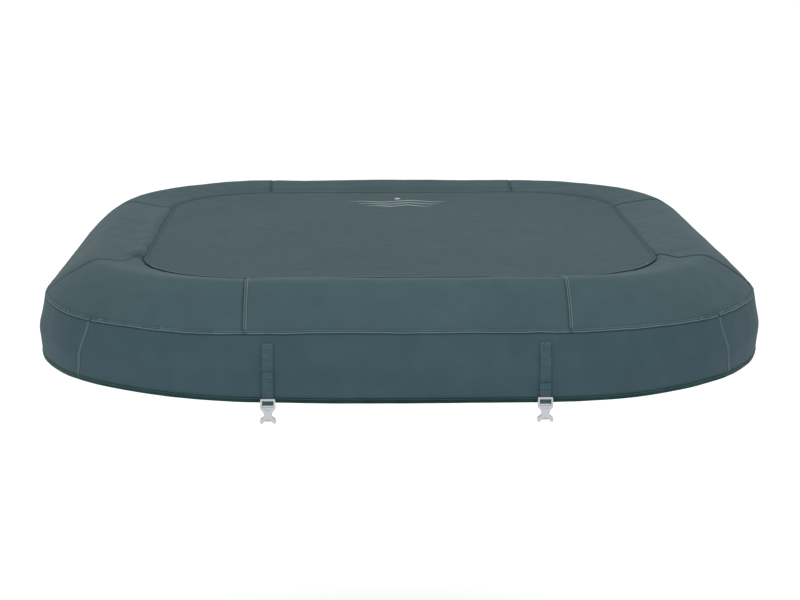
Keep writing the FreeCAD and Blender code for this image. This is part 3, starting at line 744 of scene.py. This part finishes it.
def seam_stitches():
    template = one_stitch()

    def sew(name, lines, thread):
        poses = [matrix for line in lines for matrix in stitch_poses(line)]
        keep(name, repeated(template, poses), (thread,))

    rim = [line_round(RING, ring_relief, way, STITCH_LIFT) for way in RIM_ROWS]
    sew("rim_seam_stitches", rim, pale_thread)
    steps = 700
    reaches = (("front", pale_thread, -0.62, 0.62), ("other", dark_thread, 0.62, 3.38))
    for name, thread, first, last in reaches:
        places = [first + (last - first) * number / steps for number in range(steps + 1)]
        line = [centre_point(along, PANEL_ROW, STITCH_LIFT) for along in places]
        sew(f"panel_seam_stitches_{name}", [line], thread)
    front, other = [], []
    low, high = LAP + 3 * MM, RING.long - 3 * MM
    for number in range(8):
        row = front if number in (0, 7) else other
        joint = number / 2 + 0.25
        row += [line_up(RING, ring_relief, joint, beside, low, high, fanned) for beside in RING_ROWS]
    sew("ring_joint_stitches_front", front, pale_thread)
    sew("ring_joint_stitches_other", other, dark_thread)
    corner = []
    low, high = BINDING_RISE + MM, SKIRT.long - 3 * MM
    for number in range(4):
        joint = number + 0.5
        corner += [line_up(SKIRT, skirt_relief, joint, beside, low, high, leaning) for beside in SKIRT_ROWS]
    sew("skirt_joint_stitches", corner, pale_thread)
    # the hem's row lies on the binding
    sew("hem_stitches", [line_round(SKIRT, skirt_relief, HEM_ROW, 1.15 * MM)], green_thread)


# ---- the pocket's inside and underside ------------------------------------------------------


def gusset():
    rows = graded(GUSSET.long, 4 * MM, 9 * MM)

    def relief(along, way):
        place, _ = skin(GUSSET, along, way)
        return fade(way, 12 * MM) * fade(GUSSET.long - way, 12 * MM) * 1.6 * MM * wave(place, 0.06, 3)

    # the gusset gets painted shade at its foot
    bm = panel_between(GUSSET, relief, 0.0, 4.0, 521, rows, 0.0, lambda along, way: bump(way, 4 * MM))
    bmesh.ops.remove_doubles(bm, verts=bm.verts, dist=0.02 * MM)
    piece = keep("pocket_gusset_cloth", bm, (inner_cloth,), stands_for=("pocket_gusset",))
    thicken(piece, CLOTH)


def cut(bm, point, out, clear_outer=False):
    """Cuts a sheet along a plane, and takes away what lies beyond it where asked."""
    every = bm.verts[:] + bm.edges[:] + bm.faces[:]
    bmesh.ops.bisect_plane(bm, geom=every, plane_co=point, plane_no=out, clear_outer=clear_outer)


def round_corners(bm, half):
    """Trims a square sheet to round corners, one short facet at a time."""
    radius, facets = half - STRAIGHT, 12
    for quarter in range(4):
        for step in range(facets):
            angle = math.pi / 2 * (quarter + step / facets)
            out = Vector((math.cos(angle), math.sin(angle), 0))
            x, y = math.copysign(STRAIGHT, out.x + 1e-9), math.copysign(STRAIGHT, out.y + 1e-9)
            cut(bm, Vector((x, y, 0)) + out * radius, out, True)


def cut_zip_slot(bm, low, high, edge):
    """Takes the place of the zip's tapes out of a sheet."""
    for point, out in (((0, edge, 0), (0, 1, 0)), ((low.x, 0, 0), (1, 0, 0)), ((high.x, 0, 0), (1, 0, 0))):
        cut(bm, point, out)
    in_slot = []
    for face in bm.faces:
        middle = face.calc_center_median()
        if low.x < middle.x < high.x and low.y < middle.y < high.y:
            in_slot.append(face)
    bmesh.ops.delete(bm, geom=in_slot, context="FACES")


def floor_of_pocket():
    """The flat underside on both sides of the zip, trimmed out of one sheet each."""
    _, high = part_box("underside_panel")
    tape_low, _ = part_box("zip_tape_front")
    _, tape_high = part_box("zip_tape_rear")
    zip_y = (tape_low.y + tape_high.y) / 2
    half = high.x
    for name, sign in (("underside_panel", 1), ("underside_front_strip", -1)):
        bm = bmesh.new()
        bmesh.ops.create_grid(bm, x_segments=72, y_segments=72, size=half)
        cut(bm, Vector((0, zip_y, 0)), Vector((0, -sign, 0)), True)
        round_corners(bm, half)
        cut_zip_slot(bm, tape_low, tape_high, tape_high.y if sign > 0 else tape_low.y)
        bmesh.ops.reverse_faces(bm, faces=bm.faces)
        uv_layer = bm.loops.layers.uv.new("cloth")
        crease_shade_layer = bm.verts.layers.float.new("crease_shade")
        area = sum(face.calc_area() for face in bm.faces)
        for vert in bm.verts:
            x, y, _ = vert.co
            inward = min(half - abs(x), half - abs(y), abs(y - zip_y) + 3 * MM)
            vert.co.z = 0.9 * MM * fade(inward, 60 * MM) * (1 + wave(vert.co, 0.09))
            # painted shade near the sheet's edges and the zip
            vert[crease_shade_layer] = bump(inward - 3 * MM, 6 * MM)
        for face in bm.faces:
            for loop in face.loops:
                loop[uv_layer].uv = loop.vert.co.xy
        piece = keep(f"{name}_cloth", bm, (inner_cloth,), stands_for=(name,))
        thicken(piece, CLOTH)


def zip_fastener():
    """Woven tapes with a row of moulded coil turns on each."""
    coil_pitch = 1.7 * MM
    template = one_stitch()
    template.transform(Matrix.Diagonal((0.62, 1.1, 1.9, 1)))     # one turn of a coil
    for name in ("front", "rear"):
        low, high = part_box(f"zip_tape_{name}")
        columns, rows = 181, 6

        def place_at(column, row):
            across = row / (rows - 1)
            x = low.x + (high.x - low.x) * column / (columns - 1)
            place = Vector((x, low.y + (high.y - low.y) * across, 0.2 * MM))
            place.z += 0.35 * MM * math.sin(math.pi * across) * (1 + 0.5 * wave(place, 0.03))
            return place, (place.x, place.y), 0.0

        bm = grid(columns, rows, place_at)
        bmesh.ops.reverse_faces(bm, faces=bm.faces)
        tape = keep(f"zip_tape_{name}_cloth", bm, (zip_cloth,), stands_for=(f"zip_tape_{name}",))
        thicken(tape, 0.5 * MM)
        low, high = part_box(f"zip_coil_{name}")
        middle = (low + high) / 2
        poses = []
        for number in range(int((high.x - low.x) / coil_pitch)):
            place = Vector((low.x + (number + 0.5) * coil_pitch, middle.y, middle.z))
            poses.append(pose(place, Vector((0, 1, 0)), UP))
        coil = repeated(template, poses)
        node = f"zip_coil_{name}"
        keep(f"{node}_turns", coil, (zip_teeth,), stands_for=(node,))


def air_liner():
    """The inflated liner: two sheets that swell between the upright webs."""
    low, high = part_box("liner_bottom_sheet")[0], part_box("liner_top_sheet")[1]
    web_low, web_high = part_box("liner_webs")
    pitch = (web_high.y - web_low.y) / 4
    half, middle, tall = high.x, (low.z + high.z) / 2, (high.z - low.z) / 2
    turns, rows = 145, 60

    def place_at(column, row):
        along = 4 * column / (turns - 1)
        share = row / (rows - 1)
        side = -1 if share < 0.5 else 1
        (x, y), _ = plan(half, STRAIGHT, along)
        reach = max(1 - abs(1 - 2 * share) ** 1.6, 0.0)
        place = Vector((x, y, 0)) * reach
        edge = (1 - reach) * half
        swell = math.sqrt(max(0.0, 1 - (1 - min(edge / (tall * 1.1), 1.0)) ** 2))
        # the webs hold the sheets back, less and less towards the liner's ends
        at_web = abs(math.sin(math.pi * (place.y - web_low.y) / pitch)) ** 0.7
        quilt = 1 - 0.07 * (1 - at_web) * fade(web_high.y + pitch - abs(place.y), pitch)
        place.z = middle + side * tall * swell * quilt
        return place, (place.x, place.y), 0.0

    bm = grid(turns, rows, place_at)
    bmesh.ops.remove_doubles(bm, verts=bm.verts, dist=0.1 * MM)
    bmesh.ops.recalc_face_normals(bm, faces=bm.faces)
    nodes = ("liner_bottom_sheet", "liner_top_sheet", "liner_side_band")
    piece = keep("air_liner", bm, (liner_sheet,), stands_for=nodes)


# ---- straps and buckles ---------------------------------------------------------------------

# A strap's places are (out from the cover's middle, height), along the middle of the webbing.
STRAP_THICK = 1.25 * MM
FOLD_Z, TAB_LOW_Z, HINGE_END_Z = -10.2 * MM, -21.5 * MM, -26.5 * MM
FOLD_OUT, FOLD_RADIUS = 1.4 * MM, 0.65 * MM        # the sewn end's fold, out from the skirt's face
UNDER_OUT, UPPER_OUT = 0.75 * MM, 1.9 * MM         # its under and upper layer
TACK_OUT = 1.95 * MM                      # the layer that its tack stitches lie on
OVER_BELLY = ((896.4 * MM, -45 * MM), (901.7 * MM, -68 * MM))   # the load strap, over the skirt
BAR = Vector((904.4, -145)) * MM          # the axis of the buckle's webbing bar
BAR_WRAP = 2.15 * MM                      # from that axis to the middle of the webbing
TAIL_OUT = 903.85 * MM                    # the tail, which lies against the load strap
TAIL_HEM_OUT = 905.5 * MM                 # the tail's hem, folded over to the outside
TAIL_HEM_LONG, TAIL_HEM_RADIUS = 13 * MM, 0.68 * MM
THREAD_RISE = 0.2 * MM                    # how far a stitch's middle stands off the webbing
TAILS = {                                 # top of each strap's tail above the bar
    "front_left": 74 * MM, "front_right": 46 * MM, "back_left": 52 * MM, "back_right": 70 * MM,
}


def skirt_face(height):
    return BELLY_HALF + (RIM_HALF - BELLY_HALF) * (height - BELLY_Z) / (RIM_Z - BELLY_Z)


def arc(centre, radius, first, last, steps):
    """Points of an arc in (out, height), its angles in degrees from straight out, anticlockwise."""
    angles = [math.radians(first + (last - first) * number / steps) for number in range(steps + 1)]
    return [Vector(centre) + Vector((math.cos(angle), math.sin(angle))) * radius for angle in angles]


def run_to(line, end, step=3.5 * MM):
    """Adds evenly spaced points from the line's last one to the end."""
    start, end = line[-1], Vector(end)
    count = max(1, round((end - start).length / step))
    line += [start.lerp(end, (number + 1) / count) for number in range(count)]


def strap_path(tail):
    """The webbing's middle line: sewn under layer, fold, load strap, round the bar, tail and its hem."""
    fold = Vector((skirt_face(FOLD_Z) + FOLD_OUT, FOLD_Z))
    line = [Vector((skirt_face(TAB_LOW_Z) + UNDER_OUT, TAB_LOW_Z))]
    run_to(line, (fold.x - FOLD_RADIUS, FOLD_Z))
    line += arc(fold, FOLD_RADIUS, 180, 0, 6)
    run_to(line, (skirt_face(TAB_LOW_Z) + UPPER_OUT, TAB_LOW_Z), 1.5 * MM)
    run_to(line, (skirt_face(HINGE_END_Z) + 2.0 * MM, HINGE_END_Z), 1.0 * MM)
    back = BAR.x - BAR_WRAP
    line += Section((line[-1], *OVER_BELLY, (back, -90 * MM), (back, BAR.y)), 8).line[1:]
    line += arc(BAR, BAR_WRAP, 180, 360, 12)[1:]
    run_to(line, (904.9 * MM, BAR.y + 4.2 * MM), 1.5 * MM)
    run_to(line, (TAIL_OUT, BAR.y + 7.5 * MM), 1.5 * MM)
    top = BAR.y + tail - 1.6 * MM
    run_to(line, (TAIL_OUT, top - 16 * MM))
    run_to(line, (904.3 * MM, top))
    line += arc((904.98 * MM, top), TAIL_HEM_RADIUS, 180, 0, 6)
    run_to(line, (TAIL_HEM_OUT, top - TAIL_HEM_LONG), 2 * MM)
    return line


def around(point, quarter):
    """Turns a point of the front side onto another side."""
    return Matrix.Rotation(quarter * math.pi / 2, 3, "Z") @ Vector(point)


def strap_at(offset, depth, height, hand, quarter):
    return around((hand * STRAP_X + offset, -depth, height), quarter)


def strap(name, hand, quarter):
    line = strap_path(TAILS[name])
    far = [0.0]
    for here, there in zip(line, line[1:]):
        far.append(far[-1] + (there - here).length)
    columns = 9

    def place_at(column, row):
        across = 0.5 - column / (columns - 1)
        depth, height = line[row]
        waver = 0.5 * MM * wave((far[row], quarter, hand), 0.05)
        place = strap_at(across * STRAP_WIDE + waver, depth, height, hand, quarter)
        return place, (across * STRAP_WIDE, far[row]), 0.0

    bm = grid(columns, len(line), place_at)
    stands_for = (f"strap_{name}",)
    piece = keep(f"strap_{name}_webbing", bm, (webbing,), body=None, stands_for=stands_for)
    thicken(piece, STRAP_THICK, 0.0)
    edges = piece.modifiers.new("soft edges", "BEVEL")
    edges.width, edges.segments = 0.3 * MM, 2
    edges.limit_method, edges.angle_limit = "ANGLE", math.radians(60)
    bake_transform(piece)


def tack_lines(hand, quarter):
    """Box stitching with a cross on a strap's sewn end, as lines of (place, up) points."""
    up = around((0, -1, 0), quarter)
    top, low, half = -11.4 * MM, -20.2 * MM, STRAP_WIDE / 2 - 2.6 * MM

    def spot(offset, height):
        depth = skirt_face(height) + TACK_OUT + STRAP_THICK / 2 + THREAD_RISE
        return strap_at(offset, depth, height, hand, quarter), up

    corners = ((-half, top), (half, top), (half, low), (-half, low), (-half, top))
    lines = [[spot(*here), spot(*there)] for here, there in zip(corners, corners[1:])]
    return lines + [[spot(-half, top), spot(half, low)], [spot(half, top), spot(-half, low)]]


def tail_line(name, hand, quarter):
    """One row of stitches across the hem of a strap's tail."""
    height = BAR.y + TAILS[name] - 10.5 * MM
    depth = 905.4 * MM + STRAP_THICK / 2 + THREAD_RISE
    half = STRAP_WIDE / 2 - 1.5 * MM
    up = around((0, -1, 0), quarter)
    return [(strap_at(side * half, depth, height, hand, quarter), up) for side in (-1, 1)]


def buckle_shape():
    """The socket's shape with its loose triangles merged into faces, on the front left strap."""
    bm = bmesh.new()
    bm.from_mesh(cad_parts["buckle_front_left"].data)
    bmesh.ops.remove_doubles(bm, verts=bm.verts, dist=0.01 * MM)
    bmesh.ops.dissolve_limit(bm, angle_limit=math.radians(2), verts=bm.verts, edges=bm.edges)
    return bm


def straps_and_buckles():
    tacks = []
    template = one_stitch()
    shape = buckle_shape()
    for quarter, side in ((0, "front"), (2, "back")):
        for hand_name, hand in (("left", -1), ("right", 1)):
            name = f"{side}_{hand_name}"
            strap(name, hand, quarter)
            for line in tack_lines(hand, quarter):
                tacks += stitch_poses(line, 2.6 * MM)
            hem = repeated(template, stitch_poses(tail_line(name, hand, quarter), 3.4 * MM))
            keep(f"strap_{name}_hem_stitches", hem, (green_thread,), body=f"strap_{name}")
            bm = shape.copy()
            bmesh.ops.translate(bm, verts=bm.verts, vec=((hand + 1) * STRAP_X, 0, 0))
            bmesh.ops.rotate(bm, verts=bm.verts, matrix=Matrix.Rotation(quarter * math.pi / 2, 3, "Z"))
            body = f"buckle_{name}"
            finish = (buckle_plastic,)
            piece = keep(f"{body}_socket", bm, finish, body=body, stands_for=(body,))
            edges = piece.modifiers.new("moulded edges", "BEVEL")
            edges.width, edges.segments, edges.limit_method = 0.55 * MM, 3, "ANGLE"
            edges.angle_limit = math.radians(28)
            edges.harden_normals = False
    shape.free()
    keep("strap_tacks", repeated(template, tacks), (green_thread,), stands_for=("strap_tabs",))


# ---- print on the centre panel ---------------------------------------------------------------


def panel_print():
    """Three plain wave strokes and a drop, printed on the centre panel."""
    middle, width, stroke = Vector((0.014, 0.405)), 285 * MM, 5 * MM
    apart, swing, drop_size = 42 * MM, 11 * MM, 9 * MM
    bm = bmesh.new()
    for number in range(3):
        line = bmesh.new()
        bmesh.ops.create_grid(line, x_segments=60, y_segments=1, size=0.5)
        for vert in line.verts:
            across = vert.co.x
            long = width * (1 - 0.16 * number)
            thick = stroke * (1 - (2 * abs(across)) ** 3)
            y = middle.y + (1 - number) * apart + swing * math.sin(across * 4 * math.pi)
            vert.co = print_place(middle.x + across * long, y + vert.co.y * thick)
        add(bm, line)
    drop = bmesh.new()
    bmesh.ops.create_circle(drop, cap_ends=True, segments=32, radius=drop_size)
    for vert in drop.verts:
        point = fade(vert.co.y, drop_size)
        y = middle.y + 88 * MM + vert.co.y * (1 + 0.9 * point)
        vert.co = print_place(middle.x + vert.co.x * (1 - 0.8 * point), y)
    add(bm, drop)
    bmesh.ops.recalc_face_normals(bm, faces=bm.faces)
    piece = keep("panel_print", bm, (print_ink,))
    thicken(piece, 0.15 * MM, 1.0)


def add(bm, other):
    """Moves another bmesh's shape into this one."""
    mesh = bpy.data.meshes.new("part")
    other.to_mesh(mesh)
    other.free()
    bm.from_mesh(mesh)
    bpy.data.meshes.remove(mesh)


def print_place(x, y):
    """A point just over the centre panel's cloth."""
    place = Vector((x, y, SEAM_Z))
    inward = SEAM_HALF - max(abs(x), abs(y))
    return place + UP * (panel_swell(place, inward) + 0.25 * MM)


# ---- CAD nodes that keep their shape ----------------------------------------------------------


def finish_cad_nodes():
    finishes = {
        metal: ("zip_end_stops", "zip_slider", "zip_pull"),
        valve_plastic: ("valve_body", "valve_cap"),
        rubber: ("valve_seal",),
        liner_sheet: ("liner_webs",),
    }
    for material, nodes in finishes.items():
        for node in nodes:
            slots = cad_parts[node].data.materials
            slots.clear()
            slots.append(material)


# ---- studio ------------------------------------------------------------------------------------


def studio():
    scene = bpy.context.scene
    scene.view_settings.view_transform = "Standard"
    bm = bmesh.new()
    bmesh.ops.create_grid(bm, x_segments=4, y_segments=4, size=60.0)
    bmesh.ops.translate(bm, verts=bm.verts, vec=(0, 0, FLOOR_Z))
    mesh = bpy.data.meshes.new("floor")
    bm.to_mesh(mesh)
    bm.free()
    floor = bpy.data.objects.new("floor", mesh)
    paper = Finish("paper_floor", Roughness=0.9, Specular_IOR_Level=0.1, Emission_Strength=0.15)
    paper.shader.inputs["Emission Color"].default_value = (1, 1, 1, 1)
    paper.colour(paper.blend(paper.clouds(3.0), (0.93, 0.93, 0.93, 1), (0.95, 0.95, 0.95, 1)))
    mesh.materials.append(paper.material)
    scene.collection.objects.link(floor)
    world = bpy.data.worlds.new("studio")
    world.use_nodes = True
    world.node_tree.nodes["Background"].inputs["Color"].default_value = (1, 1, 1, 1)
    world.node_tree.nodes["Background"].inputs["Strength"].default_value = 1.0
    scene.world = world
    softbox("top_light", (0.4, -1.2, 4.0), (0, 0, 0), 4.0, 70)
    softbox("front_light", (-1.5, -5.5, 2.6), (0, 0, 0), 3.5, 50)


def softbox(name, place, target, size, watts):
    light = bpy.data.lights.new(name, "AREA")
    light.size, light.energy = size, watts
    lamp = bpy.data.objects.new(name, light)
    lamp.location = place
    lamp.rotation_euler = (Vector(target) - Vector(place)).to_track_quat("-Z", "Y").to_euler()
    bpy.context.scene.collection.objects.link(lamp)


def camera():
    lens = bpy.data.cameras.new("camera")
    lens.lens, lens.sensor_width, lens.clip_end = 81.84, 36.0, 200.0
    eye = bpy.data.objects.new("camera", lens)
    eye.location = (-0.1192, -4.8156, 0.9567)
    eye.rotation_euler = (math.radians(77.54), 0, math.radians(-1.52))
    bpy.context.scene.collection.objects.link(eye)
    bpy.context.scene.camera = eye


camera()
studio()
ring_panels()
skirt_panels()
centre_panel()
binding()
seam_stitches()
gusset()
floor_of_pocket()
zip_fastener()
air_liner()
straps_and_buckles()
panel_print()
finish_cad_nodes()
